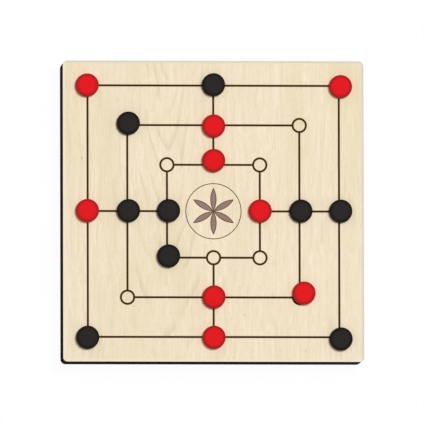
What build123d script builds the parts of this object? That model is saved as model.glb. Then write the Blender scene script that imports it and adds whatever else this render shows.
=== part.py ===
from build123d import *

import os
from math import cos, radians, sin, sqrt

# A nine men's morris box. Its lift-off lid is the playing board; the men are kept in the two compartments below.
# Frame: origin at the centre of the underside, +Z up, -Y towards the player who reads the board upright.
# All sizes are in millimetres.

# Box
box_side = 300.0  # outside, in plan, of the walls and of the lid
corner_radius = 5.0  # upright outside corners
wall_height = 40.0
wall_thickness = 12.0
wall_ease = 0.8  # rounding of the walls' outside edges, round the finger notches too

# Sheet that the lid and the bottom are cut from: a black fibreboard core with a maple face
core_thickness = 4.2
veneer_thickness = 0.8
core_ease = 0.5  # rounding of the lid core's lower edge
veneer_ease = 0.3  # rounding of the lid face's upper edge

# Bottom panel, let into a rebate in the underside of the walls
rebate_lip = 3.0  # wall left standing outside the panel
panel_corner_radius = 3.0
panel_clearance = 0.15  # all round, between the panel and the rebate

# Divider, housed in the front and back walls, with its ends cut down to pass under the lid's battens
divider_thickness = 6.0
divider_ease = 1.0  # rounding of its upper edges
divider_headroom = 1.0  # between the divider and the lid or its battens
housing_depth = 3.0
housing_clearance = 0.1  # on each face of the divider

# Loose tongues that key the mitred corners
tongue_thickness = 3.0
tongue_width = 8.0
tongue_end_cover = 3.0  # wood left below and above a tongue
tongue_clearance = 0.05

# Finger notches in the upper edges of the left and right walls
notch_width = 30.0
notch_depth = 8.0

# Battens under the lid, which drop inside the walls
batten_width = 10.0
batten_height = 10.0
batten_clearance = 0.5  # between battens and walls
batten_lead_in = 1.5  # chamfer on their lower outside edges

# Countersunk wood screws
screw_diameter = 3.0
screw_head_diameter = 5.6
screw_head_height = 1.6
screw_tip_length = 2.5
screw_recess_width = 0.8  # arms of the cross in the head
screw_recess_span = 3.2
screw_recess_depth = 0.9
screw_sink = 0.2  # head below the surface
screw_clearance = 0.05
bottom_screw_length = 14.0
bottom_screw_spacing = 150.0  # between the two screws of each wall
batten_screw_spacing = 170.0  # between the two screws of each batten
batten_screw_cover = 1.0  # lid core left over a batten screw's tip

# Board marking, engraved in the maple face and filled with dark lacquer
board_margin = 24.75  # from the board's edge to the outer square's line
inner_square = 92.5  # side of the inner square, from line to line
line_width = 1.8
ring_diameter = 13.2  # centre line of the ring round each point
engraving_depth = 0.5
fill_thickness = 0.35

# Six-petalled compass rosette in the middle of the board
rosette_diameter = 56.0  # outside of the ring round it
rosette_ring_gap = 3.5  # from the petal tips to that ring
rosette_line_width = 0.9
rosette_hub_diameter = 3.0  # dot in its centre, where the petals meet

# Men
man_diameter = 23.0
man_thickness = 6.0
man_ease = 0.8

# Derived levels and half-widths
panel_thickness = core_thickness + veneer_thickness
wall_inside = box_side / 2 - wall_thickness
panel_side = box_side - 2 * (rebate_lip + panel_clearance)
lid_bottom = wall_height
face_bottom = lid_bottom + core_thickness
face_top = face_bottom + veneer_thickness
batten_outside = wall_inside - batten_clearance
batten_bottom = wall_height - batten_height
divider_top = wall_height - divider_headroom
divider_end_top = batten_bottom - divider_headroom
batten_screw_length = batten_height - screw_sink + core_thickness - batten_screw_cover
point_ring_outside = (ring_diameter + line_width) / 2
rosette_outside = rosette_diameter / 2
petal_length = rosette_outside - rosette_line_width - rosette_ring_gap
petal_turns = range(30, 390, 60)

# The 24 points: three squares, each with four corners and four side middles, named by compass
outer_half = box_side / 2 - board_margin
inner_half = inner_square / 2
squares = {"outer": outer_half, "middle": (outer_half + inner_half) / 2, "inner": inner_half}
compass = {
    "NW": (-1, 1), "N": (0, 1), "NE": (1, 1), "E": (1, 0),
    "SE": (1, -1), "S": (0, -1), "SW": (-1, -1), "W": (-1, 0),
}

# A game in progress: the point each man stands at, and how far off its centre the player has set it down.
red_men = [
    ("outer", "NW", -0.5, 0.0),
    ("outer", "NE", 1.5, -0.9),
    ("middle", "N", 0.2, -1.0),
    ("inner", "N", 0.1, 4.1),
    ("outer", "W", -0.5, 0.2),
    ("inner", "E", 0.1, 0.2),
    ("middle", "S", 0.1, 0.2),
    ("middle", "SE", 4.1, 4.2),
    ("outer", "S", 0.1, -0.5),
]
black_men = [
    ("outer", "N", 0.1, 0.6),
    ("middle", "NW", 0.9, 1.6),
    ("middle", "W", 0.9, 0.2),
    ("inner", "W", 1.3, 0.3),
    ("middle", "E", 1.2, 0.2),
    ("outer", "E", 1.4, 0.2),
    ("inner", "SW", 1.2, 1.4),
    ("outer", "SW", -0.4, -0.7),
    ("outer", "SE", 1.4, -1.9),
]


def slab(sketch, bottom, height):
    """The sketch, raised to a solid that stands on the level called bottom."""
    return extrude(Pos(0, 0, bottom) * sketch, amount=height)


def edges_at(solid, level):
    """The edges that lie flat at this level."""
    return solid.edges().filter_by_position(Axis.Z, level, level, inclusive=(True, True))


def plate(side, radius, bottom, height):
    """A square plate with rounded corners."""
    return slab(RectangleRounded(side, side, radius), bottom, height)


def point_at(square, direction):
    """Centre of one of the 24 points, in plan."""
    half = squares[square]
    return compass[direction][0] * half, compass[direction][1] * half


# Screws

def screw(length, clearance=0.0):
    """A countersunk screw with its head's face at the origin, pointing along +Z. With a clearance, the hole for it."""
    shank = screw_diameter / 2 + clearance
    head = screw_head_diameter / 2 + clearance
    rise = screw_head_height
    profile = Polyline(
        (0, -clearance), (head, -clearance), (shank, rise),
        (shank, length - screw_tip_length), (0, length + clearance), (0, -clearance),
    )
    body = revolve(make_face(Plane.XZ * profile), Axis.Z)
    if clearance:
        mouth = Cylinder(head, screw_sink + clearance, align=(Align.CENTER, Align.CENTER, Align.MAX))
        return body + Pos(0, 0, -clearance) * mouth
    arm = Box(
        screw_recess_span, screw_recess_width, screw_recess_depth,
        align=(Align.CENTER, Align.CENTER, Align.MIN),
    )
    return body - arm - Rot(0, 0, 90) * arm


def screw_places(distance, spacing, level):
    """Two screws along each of the four sides, at this distance from the centre."""
    return [
        Rot(0, 0, quarter * 90) * Pos(distance, side * spacing / 2, level)
        for quarter in range(4)
        for side in (-1, 1)
    ]


bottom_screw_line = (wall_inside + panel_side / 2) / 2
bottom_screws_at = screw_places(bottom_screw_line, bottom_screw_spacing, screw_sink)
batten_screw_line = batten_outside - batten_width / 2
batten_screws_at = screw_places(batten_screw_line, batten_screw_spacing, batten_bottom + screw_sink)


# Box body

def finger_notch():
    """A shallow round scoop right through the left and right walls at their upper edges."""
    radius = (notch_width**2 / 4 + notch_depth**2) / (2 * notch_depth)
    return Pos(0, 0, wall_height - notch_depth + radius) * Rot(0, 90, 0) * Cylinder(radius, 2 * box_side)


def is_outside(edge):
    middle = edge.center()
    return max(abs(middle.X), abs(middle.Y)) > wall_inside


def wall_ring():
    """The four walls as one ring, with the finger notches and the rebate for the bottom panel."""
    block = plate(box_side, corner_radius, 0, wall_height) - finger_notch()
    ring = fillet(block.edges().filter_by(Axis.Z, reverse=True).filter_by(is_outside), wall_ease)
    ring -= slab(Rectangle(2 * wall_inside, 2 * wall_inside), 0, wall_height)
    rebate_side = box_side - 2 * rebate_lip
    return ring - plate(rebate_side, panel_corner_radius + panel_clearance, 0, panel_thickness)


def tongue(clearance=0.0):
    """The loose tongue of the back right corner, or with a clearance the slot for it, set across the mitre."""
    inner_corner = wall_inside
    outer_corner = box_side / 2 - corner_radius * (1 - 1 / sqrt(2))
    middle = (inner_corner + outer_corner) / 2
    bottom = panel_thickness + tongue_end_cover
    height = wall_height - tongue_end_cover - bottom
    blank = Box(
        tongue_thickness + 2 * clearance,
        tongue_width + 2 * clearance,
        height + 2 * clearance,
        align=(Align.CENTER, Align.CENTER, Align.MIN),
    )
    return Pos(middle, middle, bottom - clearance) * Rot(0, 0, 45) * blank


def divider_housing():
    """The slots in the front and back walls, open below, that the divider's ends slide up into."""
    return Box(
        divider_thickness + 2 * housing_clearance,
        2 * (wall_inside + housing_depth),
        divider_end_top + housing_clearance,
        align=(Align.CENTER, Align.CENTER, Align.MIN),
    )


def make_walls():
    ring = wall_ring() - divider_housing()
    for quarter in range(4):
        ring -= Rot(0, 0, quarter * 90) * tongue(tongue_clearance)
    for place in bottom_screws_at:
        ring -= place * screw(bottom_screw_length, screw_clearance)
    reach = box_side
    wedge = slab(make_face(Polyline((0, 0), (reach, -reach), (reach, reach), (0, 0))), 0, wall_height)
    names = ["right_wall", "back_wall", "left_wall", "front_wall"]
    return {name: ring & (Rot(0, 0, 90 * i) * wedge) for i, name in enumerate(names)}


def make_tongues():
    names = ["back_right", "back_left", "front_left", "front_right"]
    return {f"{name}_corner_tongue": Rot(0, 0, 90 * i) * tongue() for i, name in enumerate(names)}


def make_bottom():
    core = plate(panel_side, panel_corner_radius, 0, core_thickness)
    face = plate(panel_side, panel_corner_radius, core_thickness, veneer_thickness)
    for place in bottom_screws_at:
        hole = place * screw(bottom_screw_length, screw_clearance)
        core -= hole
        face -= hole
    return {"bottom_core": core, "bottom_veneer": face}


def make_divider():
    full_length = 2 * (wall_inside + housing_depth - housing_clearance)
    high_length = 2 * (batten_outside - batten_width - divider_headroom)
    body = Part()
    for length, top in ((full_length, divider_end_top), (high_length, divider_top)):
        body += slab(Rectangle(divider_thickness, length), panel_thickness, top - panel_thickness)
    upper_edges = edges_at(body, divider_end_top) + edges_at(body, divider_top)
    return fillet(upper_edges.filter_by(Axis.Y), divider_ease)


# Lid

def square_line(half):
    return Rectangle(2 * half + line_width, 2 * half + line_width) - Rectangle(
        2 * half - line_width, 2 * half - line_width
    )


def marking_sketch():
    """Three squares, four cross lines and a ring round each point, with the lines stopping at the rings."""
    lines = Sketch()
    for half in squares.values():
        lines += square_line(half)
    cross_line = Pos(squares["middle"], 0) * Rectangle(outer_half - inner_half, line_width)
    for quarter in range(4):
        lines += Rot(0, 0, 90 * quarter) * cross_line
    for square in squares:
        for direction in compass:
            place = Pos(*point_at(square, direction))
            lines += place * Circle(point_ring_outside)
            lines -= place * Circle(point_ring_outside - line_width)
    return lines


def petal(turn, inset):
    """One pointed petal from the centre outwards: where two compass circles through the centre overlap."""
    circles = [
        Pos(petal_length * cos(radians(turn + lean)), petal_length * sin(radians(turn + lean)))
        * Circle(petal_length - inset)
        for lean in (-60, 60)
    ]
    return circles[0] & circles[1]


def rosette_petals_sketch():
    petals = Sketch() + [petal(turn, rosette_line_width) for turn in petal_turns]
    return petals - Circle(rosette_hub_diameter / 2)


def rosette_outline_sketch():
    outline = Circle(rosette_outside) - Circle(rosette_outside - rosette_line_width)
    outline += Circle(rosette_hub_diameter / 2)
    for turn in petal_turns:
        outline += petal(turn, 0)
    return outline - rosette_petals_sketch()


def make_lid():
    core = plate(box_side, corner_radius, lid_bottom, core_thickness)
    core = fillet(edges_at(core, lid_bottom), core_ease)
    face = plate(box_side, corner_radius, face_bottom, veneer_thickness)
    face = fillet(edges_at(face, face_top), veneer_ease)
    groove_floor = face_top - engraving_depth
    fills = {
        "board_marking": marking_sketch(),
        "rosette_outline": rosette_outline_sketch(),
        "rosette_petals": rosette_petals_sketch(),
    }
    parts = {}
    for name, sketch in fills.items():
        face -= slab(sketch, groove_floor, engraving_depth)
        parts[name] = slab(sketch, groove_floor, fill_thickness)
    for place in batten_screws_at:
        core -= place * screw(batten_screw_length, screw_clearance)
    return parts | {"lid_core": core, "lid_veneer": face}


def make_battens():
    """A frame of four battens, butted at the corners: front and back run the full length."""
    outer = 2 * batten_outside
    inner = outer - 2 * batten_width
    block = slab(Rectangle(outer, outer), batten_bottom, batten_height)
    block = chamfer(edges_at(block, batten_bottom), batten_lead_in)
    frame = block - slab(Rectangle(inner, inner), batten_bottom, batten_height)
    for place in batten_screws_at:
        frame -= place * screw(batten_screw_length, screw_clearance)
    long_cut = slab(Rectangle(outer, batten_width), batten_bottom, batten_height)
    short_cut = slab(Rectangle(batten_width, inner), batten_bottom, batten_height)
    offset = batten_outside - batten_width / 2
    return {
        "back_batten": frame & (Pos(0, offset) * long_cut),
        "front_batten": frame & (Pos(0, -offset) * long_cut),
        "left_batten": frame & (Pos(-offset, 0) * short_cut),
        "right_batten": frame & (Pos(offset, 0) * short_cut),
    }


# Men

def man():
    disc = Cylinder(man_diameter / 2, man_thickness, align=(Align.CENTER, Align.CENTER, Align.MIN))
    return fillet(edges_at(disc, 0) + edges_at(disc, man_thickness), man_ease)


def make_men():
    disc = man()
    men = {}
    for colour, places in {"red": red_men, "black": black_men}.items():
        for number, (square, direction, off_x, off_y) in enumerate(places, start=1):
            x, y = point_at(square, direction)
            men[f"{colour}_man_{number}"] = Pos(x + off_x, y + off_y, face_top) * disc
    return men


def make_parts():
    parts = {"divider": make_divider()}
    for group in (make_walls(), make_tongues(), make_bottom(), make_lid(), make_battens(), make_men()):
        parts |= group
    parts["bottom_screws"] = Compound([place * screw(bottom_screw_length) for place in bottom_screws_at])
    parts["batten_screws"] = Compound([place * screw(batten_screw_length) for place in batten_screws_at])
    return parts


os.makedirs("parts", exist_ok=True)
for name, shape in make_parts().items():
    export_step(shape, f"parts/{name}.step")
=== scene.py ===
import math

import bpy
from mathutils import Matrix, Vector


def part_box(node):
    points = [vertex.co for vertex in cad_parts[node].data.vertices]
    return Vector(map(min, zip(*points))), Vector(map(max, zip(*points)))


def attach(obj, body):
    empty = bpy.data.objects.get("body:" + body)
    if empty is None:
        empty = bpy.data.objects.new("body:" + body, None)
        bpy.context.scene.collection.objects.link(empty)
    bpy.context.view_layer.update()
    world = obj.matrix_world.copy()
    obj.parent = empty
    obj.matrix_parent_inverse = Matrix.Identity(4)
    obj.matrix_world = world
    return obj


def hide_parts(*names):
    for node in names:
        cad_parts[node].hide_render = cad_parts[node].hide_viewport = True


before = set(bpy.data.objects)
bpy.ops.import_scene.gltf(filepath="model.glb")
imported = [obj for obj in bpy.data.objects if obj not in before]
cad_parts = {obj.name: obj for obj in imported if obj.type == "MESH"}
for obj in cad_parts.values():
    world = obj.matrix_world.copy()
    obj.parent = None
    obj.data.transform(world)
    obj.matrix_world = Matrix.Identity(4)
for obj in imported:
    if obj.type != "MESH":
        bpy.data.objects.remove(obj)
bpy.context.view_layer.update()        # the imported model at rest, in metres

# A nine men's morris box: the maple-faced board lifts off a shallow black box that stores its eighteen men.
# +Z is up and -Y is towards the player. Lengths are in millimetres unless a note says otherwise.
# A share is how much of a colour covers what lies below it. A name that ends in From or To is the level of
# noise at which a colour begins or is full, unless a note says otherwise.

mm = 0.001
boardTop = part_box("lid_veneer")[1].z / mm
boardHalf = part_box("lid_core")[1].x / mm
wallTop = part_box("front_wall")[1].z / mm
print("frame loaded, board", round(2 * boardHalf, 1), "mm square, top at", round(boardTop, 1), "mm")


def linearColour(hexText):
    parts = [int(hexText[i:i + 2], 16) / 255 for i in (1, 3, 5)]
    return [p / 12.92 if p <= 0.04045 else ((p + 0.055) / 1.055) ** 2.4 for p in parts] + [1.0]


def addNode(tree, kind, settings, inputs):
    # inputs are named, or numbered among the sockets in use, and a node stands for its first output
    node = tree.nodes.new(kind)
    for name, value in settings.items():
        setattr(node, name, value)
    for name, value in inputs.items():
        inUse = [socket for socket in node.inputs if socket.enabled]
        socket = inUse[name] if isinstance(name, int) else next(s for s in inUse if s.name == name)
        if isinstance(value, bpy.types.Node):
            value = next(output for output in value.outputs if output.enabled)
        if isinstance(value, bpy.types.NodeSocket):
            tree.links.new(value, socket)
        else:
            socket.default_value = value
    return node


def newMaterial(name):
    material = bpy.data.materials.new(name)
    material.use_nodes = True
    material.node_tree.nodes.clear()
    return material, material.node_tree


def placeOnPiece(tree, shift=(0, 0, 0)):
    # in millimetres from the object's origin, moved by shift
    coords = addNode(tree, "ShaderNodeTexCoord", {}, {})
    return addNode(tree, "ShaderNodeMapping", {},
                   {"Vector": coords.outputs["Object"], "Location": shift, "Scale": (1 / mm,) * 3})


def foldSides(tree, place):
    # board and box are alike on all four sides, so a place is told by how far out it lies, which is larger,
    # and how far along its side, which is smaller
    folded = addNode(tree, "ShaderNodeVectorMath", {"operation": "ABSOLUTE"}, {0: place})
    axes = addNode(tree, "ShaderNodeSeparateXYZ", {}, {"Vector": folded})
    x, y = axes.outputs["X"], axes.outputs["Y"]
    larger = addNode(tree, "ShaderNodeMath", {"operation": "MAXIMUM"}, {0: x, 1: y})
    smaller = addNode(tree, "ShaderNodeMath", {"operation": "MINIMUM"}, {0: x, 1: y})
    return axes, larger, smaller


def layColours(tree, ground, layers):
    # each layer is a share and a colour, laid over the ground and the layers before it
    colour = linearColour(ground)
    for share, hexText in layers:
        colour = addNode(tree, "ShaderNodeMix", {"data_type": "RGBA"},
                         {"Factor": share, "A": colour, "B": linearColour(hexText)})
    return colour


def closeSurface(tree, look, colour, roughness, relief):
    # the relief, shader and output that every finish but the metal one ends in
    bump = addNode(tree, "ShaderNodeBump", {},
                   {"Height": relief, "Strength": look["bumpStrength"], "Distance": look["bumpDepth"] * mm})
    shader = addNode(tree, "ShaderNodeBsdfPrincipled", {},
                     {"Base Color": colour, "Roughness": roughness, "IOR": look["refraction"],
                      "Specular IOR Level": look["specular"], "Normal": bump})
    addNode(tree, "ShaderNodeOutputMaterial", {}, {"Surface": shader})


# Maple veneer of the board and of the bottom's inner face

marking = {
    "squares": (46.25, 85.75, 125.25),  # from the middle to each square's lines
    "lineWidth": 1.8,
    "ringRadius": 6.6,
    "scorch": "#76541f",         # left beside the lines by the laser that engraved them
    "scorchWidth": 0.45,
    "scorchShare": 0.8,
}


def scorchShare(tree, larger, smaller):
    # by the distance to the nearest line or ring, on the eighth of the board that the others mirror
    inner, outer = marking["squares"][0], marking["squares"][-1]
    ringRadius = marking["ringRadius"]
    inside = addNode(tree, "ShaderNodeMath", {"operation": "SUBTRACT"}, {0: inner, 1: larger})
    outside = addNode(tree, "ShaderNodeMath", {"operation": "SUBTRACT"}, {0: larger, 1: outer})
    beyond = addNode(tree, "ShaderNodeMath", {"operation": "MAXIMUM"}, {0: inside, 1: outside})
    toLine = addNode(tree, "ShaderNodeMath", {"operation": "MAXIMUM"}, {0: beyond, 1: smaller})
    toPoint = boardHalf          # no place on the board is further from a point
    place = addNode(tree, "ShaderNodeCombineXYZ", {}, {"X": larger, "Y": smaller})
    for side in marking["squares"]:
        away = addNode(tree, "ShaderNodeMath", {"operation": "SUBTRACT"}, {0: larger, 1: side})
        toSide = addNode(tree, "ShaderNodeMath", {"operation": "ABSOLUTE"}, {0: away})
        toLine = addNode(tree, "ShaderNodeMath", {"operation": "MINIMUM"}, {0: toLine, 1: toSide})
        for point in ((side, 0, 0), (side, side, 0)):
            far = addNode(tree, "ShaderNodeVectorMath", {"operation": "DISTANCE"}, {0: place, 1: point})
            toPoint = addNode(tree, "ShaderNodeMath", {"operation": "MINIMUM"}, {0: toPoint, 1: far})
    outOfRing = addNode(tree, "ShaderNodeMath", {"operation": "SUBTRACT"}, {0: toPoint, 1: ringRadius})
    inRing = addNode(tree, "ShaderNodeMath", {"operation": "SUBTRACT"}, {0: ringRadius, 1: toPoint})
    lineOrRing = addNode(tree, "ShaderNodeMath", {"operation": "MINIMUM"}, {0: toLine, 1: outOfRing})
    nearest = addNode(tree, "ShaderNodeMath", {"operation": "MAXIMUM"}, {0: lineOrRing, 1: inRing})
    halfLine = marking["lineWidth"] / 2
    return addNode(tree, "ShaderNodeMapRange", {},
                   {"Value": nearest, "From Min": halfLine, "From Max": halfLine + marking["scorchWidth"],
                    "To Min": marking["scorchShare"], "To Max": 0.0})


rings = {
    "lateWood": "#ad9661",       # the darker wood that ends a year's growth
    "spacing": 11,
    "lateFrom": 0.6,             # parts of a year's growth between which its wood darkens
    "lateTo": 0.98,
    "heartX": -45,               # the Vs stand on this line and open away from the player
    "heartRound": 7,             # how far across the point of a V is rounded
    "heartSlope": 0.3,           # how fast a V opens at the line
    "sideSlope": 0.02,           # and from slopeReach on, where the grain is all but straight
    "slopeReach": 75,
    "nearShare": 0.23,           # of the colour, up to nearReach from the line
    "nearReach": 10,
    "farShare": 0.09,            # and from farReach on
    "farReach": 60,
    "patchSize": (16, 45, 16),   # stretches in which the lines fade out
    "patchFrom": 0.38,
    "patchTo": 0.66,
}


def lateWoodShare(tree, place, grainPlace):
    axes = addNode(tree, "ShaderNodeSeparateXYZ", {}, {"Vector": grainPlace})
    across = addNode(tree, "ShaderNodeMath", {"operation": "SUBTRACT"},
                     {0: axes.outputs["X"], 1: rings["heartX"]})
    besideHeart = addNode(tree, "ShaderNodeMath", {"operation": "ABSOLUTE"}, {0: across})
    roundedPlace = addNode(tree, "ShaderNodeCombineXYZ", {}, {"X": across, "Y": rings["heartRound"]})
    rounded = addNode(tree, "ShaderNodeVectorMath", {"operation": "LENGTH"}, {0: roundedPlace})
    slope = addNode(tree, "ShaderNodeMapRange", {"interpolation_type": "SMOOTHSTEP"},
                    {"Value": besideHeart, "From Max": rings["slopeReach"],
                     "To Min": rings["heartSlope"], "To Max": rings["sideSlope"]})
    rise = addNode(tree, "ShaderNodeMath", {"operation": "MULTIPLY"}, {0: axes.outputs["Y"], 1: slope})
    fromHeart = addNode(tree, "ShaderNodeMath", {"operation": "SUBTRACT"}, {0: rounded, 1: rise})
    years = addNode(tree, "ShaderNodeMath", {"operation": "DIVIDE"}, {0: fromHeart, 1: rings["spacing"]})
    year = addNode(tree, "ShaderNodeMath", {"operation": "FRACT"}, {0: years})
    late = addNode(tree, "ShaderNodeMapRange", {"interpolation_type": "SMOOTHSTEP"},
                   {"Value": year, "From Min": rings["lateFrom"], "From Max": rings["lateTo"]})
    most = addNode(tree, "ShaderNodeMapRange", {"interpolation_type": "SMOOTHSTEP"},
                   {"Value": besideHeart, "From Min": rings["nearReach"], "From Max": rings["farReach"],
                    "To Min": rings["nearShare"], "To Max": rings["farShare"]})
    patchAt = addNode(tree, "ShaderNodeVectorMath", {"operation": "DIVIDE"},
                      {0: place, 1: rings["patchSize"]})
    patches = addNode(tree, "ShaderNodeTexNoise", {}, {"Vector": patchAt, "Scale": 1.0, "Detail": 2.0})
    share = addNode(tree, "ShaderNodeMapRange", {"interpolation_type": "SMOOTHSTEP"},
                    {"Value": patches, "From Min": rings["patchFrom"], "From Max": rings["patchTo"],
                     "To Max": most})
    return addNode(tree, "ShaderNodeMath", {"operation": "MULTIPLY"}, {0: late, 1: share})


borders = {
    "pale": "#ede3d2",           # all round, paler and less yellow towards the edge
    "paleWidth": 3.6,
    "paleShare": 0.85,
    "edgeWearAndShade": "#c9c3b4",           # painted shade: greyer still along the back and right edges
    "edgeWearAndShadeWidth": 3.4,
    "edgeWearAndShadeShare": 0.72,
    "fullWidth": 0.7,            # within which both are at their strongest
    "overspray": "#14110b",      # a hairline of the sides' black lacquer at the front and left
    "oversprayWidth": 0.25,
}


def borderLayers(tree, place, larger):
    axes = addNode(tree, "ShaderNodeSeparateXYZ", {}, {"Vector": place})
    x, y = axes.outputs["X"], axes.outputs["Y"]
    toBackOrRight = addNode(tree, "ShaderNodeMath", {"operation": "MAXIMUM"}, {0: x, 1: y})
    toFrontOrLeft = addNode(tree, "ShaderNodeMath", {"operation": "MINIMUM"}, {0: x, 1: y})
    layers = []
    # the pale band runs all round; the greyer band along the back and right edges is painted shade
    for border, reach in (("pale", larger), ("edgeWearAndShade", toBackOrRight)):
        share = addNode(tree, "ShaderNodeMapRange", {"interpolation_type": "SMOOTHSTEP"},
                        {"Value": reach, "From Min": boardHalf - borders[border + "Width"],
                         "From Max": boardHalf - borders["fullWidth"], "To Max": borders[border + "Share"]})
        layers.append((share, borders[border]))
    sprayed = addNode(tree, "ShaderNodeMath", {"operation": "LESS_THAN"},
                      {0: toFrontOrLeft, 1: borders["oversprayWidth"] - boardHalf})
    return layers + [(sprayed, borders["overspray"])]


knots = {
    "heart": "#8f7048",
    "share": 0.28,
    "squash": (1, 0.6, 0),       # which makes a knot longer along the grain
    "full": 0.3,                 # of its half width, up to which it is darkest
    "reach": 1.5,                # of its half width, at which it ends
    "places": [(-131, 53, 1.0), (30.5, -103.5, 0.8), (91.5, -138.5, 0.9)],  # x, y and half width
}


def knotLayers(tree, place):
    layers = []
    for knotX, knotY, halfWidth in knots["places"]:
        away = addNode(tree, "ShaderNodeVectorMath", {"operation": "SUBTRACT"},
                       {0: place, 1: (knotX, knotY, 0)})
        flat = addNode(tree, "ShaderNodeVectorMath", {"operation": "MULTIPLY"},
                       {0: away, 1: knots["squash"]})
        far = addNode(tree, "ShaderNodeVectorMath", {"operation": "LENGTH"}, {0: flat})
        share = addNode(tree, "ShaderNodeMapRange", {"interpolation_type": "SMOOTHSTEP"},
                        {"Value": far, "From Min": knots["full"] * halfWidth,
                         "From Max": knots["reach"] * halfWidth, "To Min": knots["share"], "To Max": 0.0})
        layers.append((share, knots["heart"]))
    return layers


maple = {
    "light": "#f3e6ce",
    "dark": "#e3d2b4",
    "lightFrom": 0.34,
    "lightTo": 0.66,
    # noise of the grain: size across, along and through the sheet, then detail and roughness. Single fibres
    # are too fine to show, so they are drawn in bundles
    "fibres": ((0.8, 55, 1), 4.0, 0.6),
    "streaks": ((4, 160, 1), 4.0, 0.6),
    "bands": ((38, 230, 40), 3.0, 0.5),
    "streakPart": 0.4,           # of the shade, the rest being fibres
    "olive": "#dfd2ac",          # of the bands, where the sheet yellows
    "oliveFrom": 0.45,
    "oliveTo": 0.75,
    "oliveShare": 0.6,
    "wander": 14.0,              # the grain leaves its line by at most half of this
    "wanderSize": (45, 70, 45),
    "bottomLeaf": 210,           # how far along the grain the bottom's leaf of veneer lies from the board's
    "pore": "#c3ab83",           # of faint short ticks along the grain
    "poreSize": (0.4, 3.2, 1),   # coarser than pores are, so that they show
    "poreFrom": 0.58,
    "poreTo": 0.74,
    "poreShare": 0.4,
    "smoothest": 0.48,
    "roughest": 0.62,
    "refraction": 1.5,
    "specular": 0.2,
    "bumpStrength": 0.35,
    "bumpDepth": 0.02,
}


def slicedMapleVeneer(name, leaf, engraved):
    # Maple veneer, sliced, sanded and matt lacquered: pale, close fibres and a few soft rings in long Vs
    material, tree = newMaterial(name)
    place = placeOnPiece(tree, (0, leaf, 0))
    wanderAt = addNode(tree, "ShaderNodeVectorMath", {"operation": "DIVIDE"},
                       {0: place, 1: maple["wanderSize"]})
    wander = addNode(tree, "ShaderNodeTexNoise", {}, {"Vector": wanderAt, "Scale": 1.0, "Detail": 3.0})
    noiseMiddle = (0.5, 0.5, 0.5)
    centred = addNode(tree, "ShaderNodeVectorMath", {"operation": "SUBTRACT"},
                      {0: wander.outputs["Color"], 1: noiseMiddle})
    aside = addNode(tree, "ShaderNodeVectorMath", {"operation": "SCALE"},
                    {"Vector": centred, "Scale": maple["wander"]})
    grainPlace = addNode(tree, "ShaderNodeVectorMath", {"operation": "ADD"}, {0: place, 1: aside})

    figure = {}
    for layer in ("fibres", "streaks", "bands"):
        size, detail, roughness = maple[layer]
        stretched = addNode(tree, "ShaderNodeVectorMath", {"operation": "DIVIDE"},
                            {0: grainPlace, 1: size})
        figure[layer] = addNode(tree, "ShaderNodeTexNoise", {},
                                {"Vector": stretched, "Scale": 1.0, "Detail": detail,
                                 "Roughness": roughness})
    shade = addNode(tree, "ShaderNodeMix", {"data_type": "FLOAT"},
                    {"Factor": maple["streakPart"], "A": figure["fibres"], "B": figure["streaks"]})
    lightShare = addNode(tree, "ShaderNodeMapRange", {},
                         {"Value": shade, "From Min": maple["lightFrom"], "From Max": maple["lightTo"]})
    oliveShare = addNode(tree, "ShaderNodeMapRange", {"interpolation_type": "SMOOTHSTEP"},
                         {"Value": figure["bands"], "From Min": maple["oliveFrom"],
                          "From Max": maple["oliveTo"], "To Max": maple["oliveShare"]})
    poreAt = addNode(tree, "ShaderNodeVectorMath", {"operation": "DIVIDE"},
                     {0: place, 1: maple["poreSize"]})
    pores = addNode(tree, "ShaderNodeTexNoise", {}, {"Vector": poreAt, "Scale": 1.0, "Detail": 2.0})
    poreShare = addNode(tree, "ShaderNodeMapRange", {"interpolation_type": "SMOOTHSTEP"},
                        {"Value": pores, "From Min": maple["poreFrom"], "From Max": maple["poreTo"],
                         "To Max": maple["poreShare"]})
    layers = [
        (lightShare, maple["light"]),
        (oliveShare, maple["olive"]),
        (lateWoodShare(tree, place, grainPlace), rings["lateWood"]),
        (poreShare, maple["pore"]),
        *knotLayers(tree, place),
    ]
    if engraved:
        larger, smaller = foldSides(tree, place)[1:]
        layers += borderLayers(tree, place, larger)
        layers.append((scorchShare(tree, larger, smaller), marking["scorch"]))

    colour = layColours(tree, maple["dark"], layers)
    gloss = addNode(tree, "ShaderNodeMapRange", {},
                    {"Value": pores, "To Min": maple["smoothest"], "To Max": maple["roughest"]})
    relief = addNode(tree, "ShaderNodeMath", {"operation": "ADD"}, {0: pores, 1: figure["fibres"]})
    closeSurface(tree, maple, colour, gloss, relief)
    return material


# Fibreboard under the veneers

fibreboard = {
    "fibre": "#120f09",
    "dust": "#2b261c",
    "dustFrom": 0.44,
    "dustTo": 0.68,
    "fibreSize": 1.4,            # drawn as tufts, since single fibres are too fine to show
    "mottleSize": 22,
    "mottlePart": 0.5,           # of the shade, the rest being tufts
    "roughness": 0.95,
    "refraction": 1.5,
    "specular": 0.01,
    "bumpStrength": 0.5,
    "bumpDepth": 0.04,
}


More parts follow.
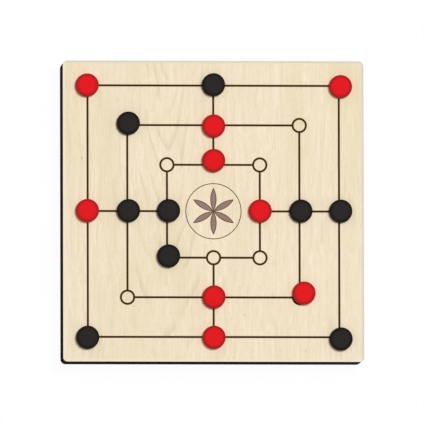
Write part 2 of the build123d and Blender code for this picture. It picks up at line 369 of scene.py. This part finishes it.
def dyedFibreboard():
    # Black-dyed fibreboard, sawn: matt black, mottled where its brownish fibres lie near the face
    material, tree = newMaterial("dyed_fibreboard_sawn")
    place = placeOnPiece(tree)
    fibreAt = addNode(tree, "ShaderNodeVectorMath", {"operation": "SCALE"},
                      {"Vector": place, "Scale": 1 / fibreboard["fibreSize"]})
    fibres = addNode(tree, "ShaderNodeTexNoise", {},
                     {"Vector": fibreAt, "Scale": 1.0, "Detail": 5.0, "Roughness": 0.7})
    mottleAt = addNode(tree, "ShaderNodeVectorMath", {"operation": "SCALE"},
                       {"Vector": place, "Scale": 1 / fibreboard["mottleSize"]})
    mottle = addNode(tree, "ShaderNodeTexNoise", {}, {"Vector": mottleAt, "Scale": 1.0, "Detail": 3.0})
    shade = addNode(tree, "ShaderNodeMix", {"data_type": "FLOAT"},
                    {"Factor": fibreboard["mottlePart"], "A": fibres, "B": mottle})
    dustShare = addNode(tree, "ShaderNodeMapRange", {},
                        {"Value": shade, "From Min": fibreboard["dustFrom"],
                         "From Max": fibreboard["dustTo"]})
    colour = addNode(tree, "ShaderNodeMix", {"data_type": "RGBA"},
                     {"Factor": dustShare, "A": linearColour(fibreboard["fibre"]),
                      "B": linearColour(fibreboard["dust"])})
    closeSurface(tree, fibreboard, colour, fibreboard["roughness"], fibres)
    return material


# Lacquered wood of the walls, the divider and the battens

lacquer = {
    "coat": "#13100a",
    "rubbed": "#332c20",         # the crests of the grain
    "rubbedFrom": 0.55,
    "rubbedTo": 0.75,
    "grainSize": (0.7, 22),      # across and along
    "joint": "#3a3326",          # of the mitres, each a hairline that is drawn wide enough to show
    "jointFull": 0.15,           # from the joint, up to which its colour is full
    "jointReach": 0.35,
    "edgeWearAndShade": "#564736",           # edges where the wood under the coat shows
    "edgeWearAndShadeWidth": 1.2,
    "wornFade": 0.45,            # over which a worn place goes over into the coat
    "wornPatch": 9,              # length of one worn stretch
    "wornFrom": 0.46,
    "wornTo": 0.68,
    "wallThickness": 12,
    "cornerRadius": 5,
    "cornerCoat": 0.25,          # how much less a rounded corner wears than a straight edge
    "smoothest": 0.85,
    "roughest": 0.95,
    "refraction": 1.5,
    "specular": 0.01,
    "bumpStrength": 0.5,
    "bumpDepth": 0.05,
}


def edgeWearAndShadeShare(tree, place, axes, larger, smaller):
    # in patches, by the distance to a long edge of a wall or to the middle of a rounded corner
    fromTop = addNode(tree, "ShaderNodeMath", {"operation": "SUBTRACT"}, {0: wallTop, 1: axes.outputs["Z"]})
    fromLevel = addNode(tree, "ShaderNodeMath", {"operation": "MINIMUM"},
                        {0: fromTop, 1: axes.outputs["Z"]})
    fromOutside = addNode(tree, "ShaderNodeMath", {"operation": "SUBTRACT"}, {0: boardHalf, 1: larger})
    pastInside = addNode(tree, "ShaderNodeMath", {"operation": "SUBTRACT"},
                         {0: larger, 1: boardHalf - lacquer["wallThickness"]})
    fromInside = addNode(tree, "ShaderNodeMath", {"operation": "ABSOLUTE"}, {0: pastInside})
    fromFace = addNode(tree, "ShaderNodeMath", {"operation": "MINIMUM"}, {0: fromOutside, 1: fromInside})
    fromEdge = addNode(tree, "ShaderNodeMath", {"operation": "MAXIMUM"}, {0: fromLevel, 1: fromFace})
    cornerMiddle = boardHalf - (1 - math.sqrt(0.5)) * lacquer["cornerRadius"]
    fromCorner = addNode(tree, "ShaderNodeMath", {"operation": "SUBTRACT"},
                         {0: cornerMiddle + lacquer["cornerCoat"], 1: smaller})
    fromWear = addNode(tree, "ShaderNodeMath", {"operation": "MINIMUM"}, {0: fromEdge, 1: fromCorner})
    patchAt = addNode(tree, "ShaderNodeVectorMath", {"operation": "SCALE"},
                      {"Vector": place, "Scale": 1 / lacquer["wornPatch"]})
    patches = addNode(tree, "ShaderNodeTexNoise", {},
                      {"Vector": patchAt, "Scale": 1.0, "Detail": 6.0, "Roughness": 0.65})
    width = addNode(tree, "ShaderNodeMapRange", {},
                    {"Value": patches, "From Min": lacquer["wornFrom"], "From Max": lacquer["wornTo"],
                     "To Max": lacquer["edgeWearAndShadeWidth"]})
    depth = addNode(tree, "ShaderNodeMath", {"operation": "SUBTRACT"}, {0: width, 1: fromWear})
    return addNode(tree, "ShaderNodeMapRange", {"interpolation_type": "SMOOTHSTEP"},
                   {"Value": depth, "From Max": lacquer["wornFade"]})


def sprayedLacquer():
    # Matt black lacquer sprayed on beech: faint grain lines along each wall, a hairline at each mitre,
    # and edges and corners rubbed through here and there
    material, tree = newMaterial("black_lacquer_sprayed_matt")
    place = placeOnPiece(tree)
    axes, larger, smaller = foldSides(tree, place)
    across, along = lacquer["grainSize"]
    inFrontOrBack = addNode(tree, "ShaderNodeMath", {"operation": "GREATER_THAN"},
                            {0: axes.outputs["Y"], 1: axes.outputs["X"]})
    grainSize = addNode(tree, "ShaderNodeMix", {"data_type": "VECTOR"},
                        {"Factor": inFrontOrBack, "A": (across, along, across),
                         "B": (along, across, across)})
    grainAt = addNode(tree, "ShaderNodeVectorMath", {"operation": "DIVIDE"}, {0: place, 1: grainSize})
    grain = addNode(tree, "ShaderNodeTexNoise", {},
                    {"Vector": grainAt, "Scale": 1.0, "Detail": 4.0, "Roughness": 0.6})
    rubbedShare = addNode(tree, "ShaderNodeMapRange", {},
                          {"Value": grain, "From Min": lacquer["rubbedFrom"],
                           "From Max": lacquer["rubbedTo"]})
    inCorner = addNode(tree, "ShaderNodeMath", {"operation": "GREATER_THAN"},
                       {0: larger, 1: boardHalf - 2 * lacquer["wallThickness"]})
    offMitre = addNode(tree, "ShaderNodeMath", {"operation": "SUBTRACT"}, {0: larger, 1: smaller})
    jointShare = addNode(tree, "ShaderNodeMapRange", {},
                         {"Value": offMitre, "From Min": lacquer["jointFull"],
                          "From Max": lacquer["jointReach"], "To Min": inCorner, "To Max": 0.0})
    colour = layColours(tree, lacquer["coat"], [
        (rubbedShare, lacquer["rubbed"]),
        (jointShare, lacquer["joint"]),
        (edgeWearAndShadeShare(tree, place, axes, larger, smaller), lacquer["edgeWearAndShade"]),
    ])
    gloss = addNode(tree, "ShaderNodeMapRange", {},
                    {"Value": grain, "To Min": lacquer["smoothest"], "To Max": lacquer["roughest"]})
    closeSurface(tree, lacquer, colour, gloss, grain)
    return material


# Lacquer in the engraving

fill = {
    "lines": "#382208",          # of the squares, rings and cross lines
    "outline": "#644b3c",        # of the rosette
    "petals": "#91796e",
    "cloudSize": 0.8,
    "cloudFrom": 0.3,
    "cloudTo": 0.7,
    "unevenness": 0.25,          # of the colour's lightness, either way
    "roughness": 0.7,
    "refraction": 1.5,
    "specular": 0.08,
    "bumpStrength": 0.4,
    "bumpDepth": 0.03,
}


def pouredFill(name, hexText):
    # Lacquer poured into engraved wood and wiped level: dull, slightly cloudy, uneven
    material, tree = newMaterial(name)
    place = placeOnPiece(tree)
    cloudAt = addNode(tree, "ShaderNodeVectorMath", {"operation": "SCALE"},
                      {"Vector": place, "Scale": 1 / fill["cloudSize"]})
    clouds = addNode(tree, "ShaderNodeTexNoise", {}, {"Vector": cloudAt, "Scale": 1.0, "Detail": 3.0})
    lightness = addNode(tree, "ShaderNodeMapRange", {},
                        {"Value": clouds, "From Min": fill["cloudFrom"], "From Max": fill["cloudTo"],
                         "To Min": 1 - fill["unevenness"], "To Max": 1 + fill["unevenness"]})
    colour = addNode(tree, "ShaderNodeVectorMath", {"operation": "SCALE"},
                     {"Vector": linearColour(hexText)[:3], "Scale": lightness})
    closeSurface(tree, fill, colour, fill["roughness"], clouds)
    return material


# Screws

steel = {"dull": "#a9adb0", "bright": "#d3d6d4", "cloudSize": 1.25, "smoothest": 0.25, "roughest": 0.5}


def zincPlatedSteel():
    # Zinc-plated steel, cold headed: pale bluish grey with a faint cloudy passivation
    material, tree = newMaterial("zinc_plated_steel_cold_headed")
    place = placeOnPiece(tree)
    clouds = addNode(tree, "ShaderNodeTexNoise", {},
                     {"Vector": place, "Scale": 1 / steel["cloudSize"], "Detail": 4.0})
    colour = addNode(tree, "ShaderNodeMix", {"data_type": "RGBA"},
                     {"Factor": clouds, "A": linearColour(steel["dull"]),
                      "B": linearColour(steel["bright"])})
    gloss = addNode(tree, "ShaderNodeMapRange", {},
                    {"Value": clouds, "To Min": steel["smoothest"], "To Max": steel["roughest"]})
    shader = addNode(tree, "ShaderNodeBsdfPrincipled", {},
                     {"Base Color": colour, "Metallic": 1.0, "Roughness": gloss})
    addNode(tree, "ShaderNodeOutputMaterial", {}, {"Surface": shader})
    return material


# Tongues in the mitres

beech = {
    "face": "#d9b48c",
    "fleck": "#a97c54",
    "fleckSize": (0.4545, 0.4545, 2.5),  # upright
    "fleckFrom": 0.45,
    "fleckTo": 0.7,
    "roughness": 0.6,
    "refraction": 1.5,
    "specular": 0.3,
    "bumpStrength": 0.4,
    "bumpDepth": 0.03,
}


def planedBeech():
    # Beech, planed and left bare: pinkish tan with short dark ray flecks, grain upright in each tongue
    material, tree = newMaterial("beech_planed")
    place = placeOnPiece(tree)
    fleckAt = addNode(tree, "ShaderNodeVectorMath", {"operation": "DIVIDE"},
                      {0: place, 1: beech["fleckSize"]})
    flecks = addNode(tree, "ShaderNodeTexNoise", {}, {"Vector": fleckAt, "Scale": 1.0, "Detail": 3.0})
    fleckShare = addNode(tree, "ShaderNodeMapRange", {},
                         {"Value": flecks, "From Min": beech["fleckFrom"], "From Max": beech["fleckTo"]})
    colour = addNode(tree, "ShaderNodeMix", {"data_type": "RGBA"},
                     {"Factor": fleckShare, "A": linearColour(beech["face"]),
                      "B": linearColour(beech["fleck"])})
    closeSurface(tree, beech, colour, beech["roughness"], flecks)
    return material


# CAD pieces that stay take the finish of their slot

finishes = {
    "maple_veneer": slicedMapleVeneer("sliced_maple_veneer_engraved", 0, True),
    "black_fibreboard": dyedFibreboard(),
    "black_lacquer": sprayedLacquer(),
    "brown_line_fill": pouredFill("brown_lacquer_poured", fill["lines"]),
    "taupe_outline_fill": pouredFill("taupe_brown_lacquer_poured", fill["outline"]),
    "taupe_petal_fill": pouredFill("taupe_lacquer_poured", fill["petals"]),
    "screw_steel": zincPlatedSteel(),
    "beech": planedBeech(),
}
print("materials made:", len(finishes))

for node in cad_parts.values():
    slotName = node.data.materials[0].name.split(".")[0]
    if slotName in finishes:
        node.data.materials[0] = finishes[slotName]
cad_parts["bottom_veneer"].data.materials[0] = slicedMapleVeneer(
    "sliced_maple_veneer_plain", maple["bottomLeaf"], False)
print("finishes given to the box, the lid and the board")


# Men

acrylic = {
    "edgeDarkeningWidth": 4.0,            # the face dulls and darkens towards its eased edge
    "rimWidth": 0.9,             # and darkens that edge most
    "sideWidth": 0.3,            # within which the face's colour goes over into the side's
    "sideFull": 0.05,            # from the outside, where it is all the side's
    "cloudSize": 1.667,
    "cloudHeight": 0.1,          # in the relief, where the marks have 1
    "markSize": (0.5, 0.5, 20),  # the laser's marks down the side, drawn coarse enough to show
    "smoothest": 0.30,
    "roughest": 0.44,
    "rimRoughness": 0.55,
    "refraction": 1.49,
    "specular": 0.1,
    "bumpStrength": 0.4,
    "bumpDepth": 0.04,
}


def laserCutAcrylic(name, face, rim, side, radius):
    # Cast acrylic, laser cut: an even satin face, darker and duller towards the edge, and faint upright
    # marks down the side
    material, tree = newMaterial(name)
    fromCentre = addNode(tree, "ShaderNodeAttribute", {"attribute_name": "fromCentre"}, {})
    flat = addNode(tree, "ShaderNodeVectorMath", {"operation": "MULTIPLY"},
                   {0: fromCentre.outputs["Vector"], 1: (1 / mm, 1 / mm, 0)})
    reach = addNode(tree, "ShaderNodeVectorMath", {"operation": "LENGTH"}, {0: flat})
    rimShare = addNode(tree, "ShaderNodeMapRange", {},
                       {"Value": reach, "From Min": radius - acrylic["edgeDarkeningWidth"],
                        "From Max": radius - acrylic["rimWidth"]})
    sideShare = addNode(tree, "ShaderNodeMapRange", {"interpolation_type": "SMOOTHSTEP"},
                        {"Value": reach, "From Min": radius - acrylic["sideWidth"],
                         "From Max": radius - acrylic["sideFull"]})
    colour = layColours(tree, face, [(rimShare, rim), (sideShare, side)])

    place = placeOnPiece(tree)
    clouds = addNode(tree, "ShaderNodeTexNoise", {},
                     {"Vector": place, "Scale": 1 / acrylic["cloudSize"], "Detail": 5.0})
    faceGloss = addNode(tree, "ShaderNodeMapRange", {},
                        {"Value": clouds, "To Min": acrylic["smoothest"], "To Max": acrylic["roughest"]})
    gloss = addNode(tree, "ShaderNodeMix", {"data_type": "FLOAT"},
                    {"Factor": rimShare, "A": faceGloss, "B": acrylic["rimRoughness"]})
    markAt = addNode(tree, "ShaderNodeVectorMath", {"operation": "DIVIDE"},
                     {0: place, 1: acrylic["markSize"]})
    marks = addNode(tree, "ShaderNodeTexNoise", {}, {"Vector": markAt, "Scale": 1.0, "Detail": 1.0})
    rimMarks = addNode(tree, "ShaderNodeMath", {"operation": "MULTIPLY"}, {0: marks, 1: rimShare})
    relief = addNode(tree, "ShaderNodeMath", {"operation": "MULTIPLY_ADD"},
                     {0: clouds, 1: acrylic["cloudHeight"], 2: rimMarks})
    closeSurface(tree, acrylic, colour, gloss, relief)
    return material


men = {
    "ease": 0.8,                 # rounding of both edges
    "easeSteps": 6,
    "segments": 128,
    "spinRadius": 1.0,           # of the small circle that the outline is swept round
    "mergeWithin": 0.01,         # points this near become one, which closes the two poles
    "face": {"red": "#dc171f", "black": "#242120"},
    "rim": {"red": "#9a1e1a", "black": "#150e07"},
    "side": {"red": "#cc2926", "black": "#150e07"},
}


def turnedDiscTree():
    # half the disc's outline, from axis to axis, swept round a small circle and closed at its two poles
    tree = bpy.data.node_groups.new("turnedDisc", "GeometryNodeTree")
    tree.is_modifier = True
    for name, kind in (("Diameter", "Float"), ("Thickness", "Float"), ("Ease", "Float"),
                       ("Ease Steps", "Int"), ("Segments", "Int"), ("Centre", "Vector"),
                       ("Material", "Material")):
        tree.interface.new_socket(name, in_out="INPUT", socket_type="NodeSocket" + kind)
    tree.interface.new_socket("Disc", in_out="OUTPUT", socket_type="NodeSocketGeometry")
    sizes = addNode(tree, "NodeGroupInput", {}, {})
    spin = men["spinRadius"] * mm
    edge = addNode(tree, "ShaderNodeMath", {"operation": "MULTIPLY_ADD"},
                   {0: sizes.outputs["Diameter"], 1: 0.5, 2: -spin})
    thickness = sizes.outputs["Thickness"]
    above = addNode(tree, "ShaderNodeMath", {"operation": "MULTIPLY"}, {0: thickness, 1: 0.5})
    below = addNode(tree, "ShaderNodeMath", {"operation": "MULTIPLY"}, {0: thickness, 1: -0.5})
    corners = [addNode(tree, "ShaderNodeCombineXYZ", {}, {"X": x, "Y": y})
               for x, y in ((-spin, above), (edge, above), (edge, below), (-spin, below))]
    outline = addNode(tree, "GeometryNodeCurvePrimitiveQuadrilateral", {"mode": "POINTS"},
                      {f"Point {number + 1}": corner for number, corner in enumerate(corners)})
    halfOutline = addNode(tree, "GeometryNodeSetSplineCyclic", {}, {"Geometry": outline, "Cyclic": False})
    eased = addNode(tree, "GeometryNodeFilletCurve", {"mode": "POLY"},
                    {"Curve": halfOutline, "Count": sizes.outputs["Ease Steps"],
                     "Radius": sizes.outputs["Ease"]})
    path = addNode(tree, "GeometryNodeCurvePrimitiveCircle", {},
                   {"Resolution": sizes.outputs["Segments"], "Radius": spin})
    swept = addNode(tree, "GeometryNodeCurveToMesh", {}, {"Curve": path, "Profile Curve": eased})
    closed = addNode(tree, "GeometryNodeMergeByDistance", {},
                     {"Geometry": swept, "Distance": men["mergeWithin"] * mm})
    position = addNode(tree, "GeometryNodeInputPosition", {}, {})
    marked = addNode(tree, "GeometryNodeStoreNamedAttribute",
                     {"data_type": "FLOAT_VECTOR", "domain": "POINT"},
                     {"Geometry": closed, "Name": "fromCentre", "Value": position})
    placed = addNode(tree, "GeometryNodeTransform", {},
                     {"Geometry": marked, "Translation": sizes.outputs["Centre"]})
    smooth = addNode(tree, "GeometryNodeSetShadeSmooth", {}, {"Geometry": placed})
    solid = addNode(tree, "GeometryNodeRealizeInstances", {}, {"Geometry": smooth})
    finished = addNode(tree, "GeometryNodeSetMaterial", {},
                       {"Geometry": solid, "Material": sizes.outputs["Material"]})
    addNode(tree, "NodeGroupOutput", {}, {"Disc": finished})
    return tree


def bakeTree(pieceName, tree, values):
    # runs the tree on an empty carrier and keeps the result as a plain mesh
    carrier = bpy.data.objects.new(pieceName + "_carrier", bpy.data.meshes.new(pieceName))
    bpy.context.collection.objects.link(carrier)
    modifier = carrier.modifiers.new("tree", "NODES")
    modifier.node_group = tree
    socketOf = {item.name: item.identifier for item in tree.interface.items_tree if item.in_out == "INPUT"}
    for name, value in values.items():
        modifier[socketOf[name]] = value
    evaluated = carrier.evaluated_get(bpy.context.evaluated_depsgraph_get())
    piece = bpy.data.objects.new(pieceName, bpy.data.meshes.new_from_object(evaluated))
    bpy.data.objects.remove(carrier)
    bpy.context.collection.objects.link(piece)
    return piece


discTree = turnedDiscTree()
for colourName in ("red", "black"):
    manNodes = [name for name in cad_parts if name.startswith(colourName + "_man_")]
    radius = (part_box(manNodes[0])[1].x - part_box(manNodes[0])[0].x) / 2
    discFinish = laserCutAcrylic(f"{colourName}_cast_acrylic_laser_cut", men["face"][colourName],
                                 men["rim"][colourName], men["side"][colourName], radius / mm)
    for name in manNodes:
        low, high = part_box(name)
        disc = bakeTree(name + "_disc", discTree, {
            "Diameter": 2 * radius, "Thickness": high.z - low.z, "Ease": men["ease"] * mm,
            "Ease Steps": men["easeSteps"], "Segments": men["segments"], "Centre": (low + high) / 2,
            "Material": discFinish})
        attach(disc, name)
        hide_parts(name)
    print(colourName, "men turned:", len(manNodes))


# Floor, world, lamp and camera

stage = {
    "floorSize": 60000,
    "floorDrop": 0.1,            # below the box's underside
    "floorColour": "#ffffff",
    "whiteShare": 0.96,          # of plain white in what a camera sees, the rest being paint and its shadow
}


def cameraSees(tree):
    # 1 for what a camera sees, also in metal or through glass, and 0 for what lights the object
    path = addNode(tree, "ShaderNodeLightPath", {}, {})
    seen = addNode(tree, "ShaderNodeMath", {"operation": "MAXIMUM"},
                   {0: path.outputs["Is Camera Ray"], 1: path.outputs["Is Glossy Ray"]})
    return addNode(tree, "ShaderNodeMath", {"operation": "MAXIMUM"},
                   {0: seen, 1: path.outputs["Is Transmission Ray"]})


def mattFloor():
    # White matt paint that the background goes over into: a camera sees it as white, and faintly its shadow
    material, tree = newMaterial("white_floor_painted")
    share = addNode(tree, "ShaderNodeMath", {"operation": "MULTIPLY"},
                    {0: cameraSees(tree), 1: stage["whiteShare"]})
    paint = addNode(tree, "ShaderNodeBsdfDiffuse", {}, {"Color": linearColour(stage["floorColour"])})
    white = addNode(tree, "ShaderNodeEmission", {}, {"Strength": 1.0})
    mixed = addNode(tree, "ShaderNodeMixShader", {}, {0: share, 1: paint, 2: white})
    addNode(tree, "ShaderNodeOutputMaterial", {}, {"Surface": mixed})
    return material


half = stage["floorSize"] / 2 * mm
drop = -stage["floorDrop"] * mm
floorCorners = [(-half, -half, drop), (half, -half, drop), (half, half, drop), (-half, half, drop)]
floorMesh = bpy.data.meshes.new("floor")
floorMesh.from_pydata(floorCorners, [], [(0, 1, 2, 3)])
floorMesh.materials.append(mattFloor())
floor = bpy.data.objects.new("floor", floorMesh)
bpy.context.collection.objects.link(floor)

light = {
    "colour": "#ffffff",
    "fillLevel": 0.36,           # what the world alone lights a white surface to, of 1
    "keyLevel": 0.57,            # what the lamp adds
    "keyDistance": 8000,
    "keySize": 2000,
    "keyLean": (0.2, 0.2),       # towards +X and +Y for each unit of height
}

scene = bpy.context.scene
world = bpy.data.worlds.new("studio")
world.use_nodes = True
world.node_tree.nodes.clear()
strength = addNode(world.node_tree, "ShaderNodeMapRange", {},
                   {"Value": cameraSees(world.node_tree), "To Min": light["fillLevel"], "To Max": 1.0})
background = addNode(world.node_tree, "ShaderNodeBackground", {},
                     {"Color": linearColour(light["colour"]), "Strength": strength})
addNode(world.node_tree, "ShaderNodeOutputWorld", {}, {"Surface": background})
scene.world = world

keyData = bpy.data.lights.new("key", "AREA")
keyData.shape = "SQUARE"
keyData.size = light["keySize"] * mm
toKey = Vector((*light["keyLean"], 1)).normalized()
keyMetres = light["keyDistance"] * mm
# watts that light a level white surface to keyLevel from that distance and slant
keyData.energy = light["keyLevel"] * 4 * math.pi * keyMetres ** 2 / toKey.z
key = bpy.data.objects.new("key", keyData)
key.location = Vector((0, 0, boardTop * mm)) + toKey * keyMetres
key.rotation_mode = "QUATERNION"
key.rotation_quaternion = toKey.to_track_quat("Z", "Y")
key.visible_camera = False
key.visible_glossy = False       # its diffuser is too large and dim to mirror
bpy.context.collection.objects.link(key)

view = {
    "lens": 1400,                # long, so the board's sides stay parallel
    "sensor": 36,
    "height": 422.5,             # of the view, at the board's face
    "aim": (-1.43, -1.22),       # from the middle of the board's face
    "lean": (-0.069, -0.069),    # towards -X and -Y for each unit of height, so the left and front just show
    "roll": -0.134,              # degrees
    "clipEnd": 100000,
}

cameraData = bpy.data.cameras.new("camera")
cameraData.lens = view["lens"]
cameraData.sensor_width = view["sensor"]
cameraData.clip_end = view["clipEnd"] * mm
camera = bpy.data.objects.new("camera", cameraData)
bpy.context.collection.objects.link(camera)
scene.camera = camera
target = Vector((*view["aim"], boardTop)) * mm
backward = Vector((*view["lean"], 1)).normalized()
rightward = Vector((0, 1, 0)).cross(backward).normalized()
upward = backward.cross(rightward)
distance = view["height"] * mm * view["lens"] / view["sensor"]
camera.matrix_world = (
    Matrix.Translation(target + backward * distance)
    @ Matrix((rightward, upward, backward)).transposed().to_4x4()
    @ Matrix.Rotation(math.radians(view["roll"]), 4, "Z"))

scene.view_settings.view_transform = "Standard"
print("floor, world, lamp and camera set")
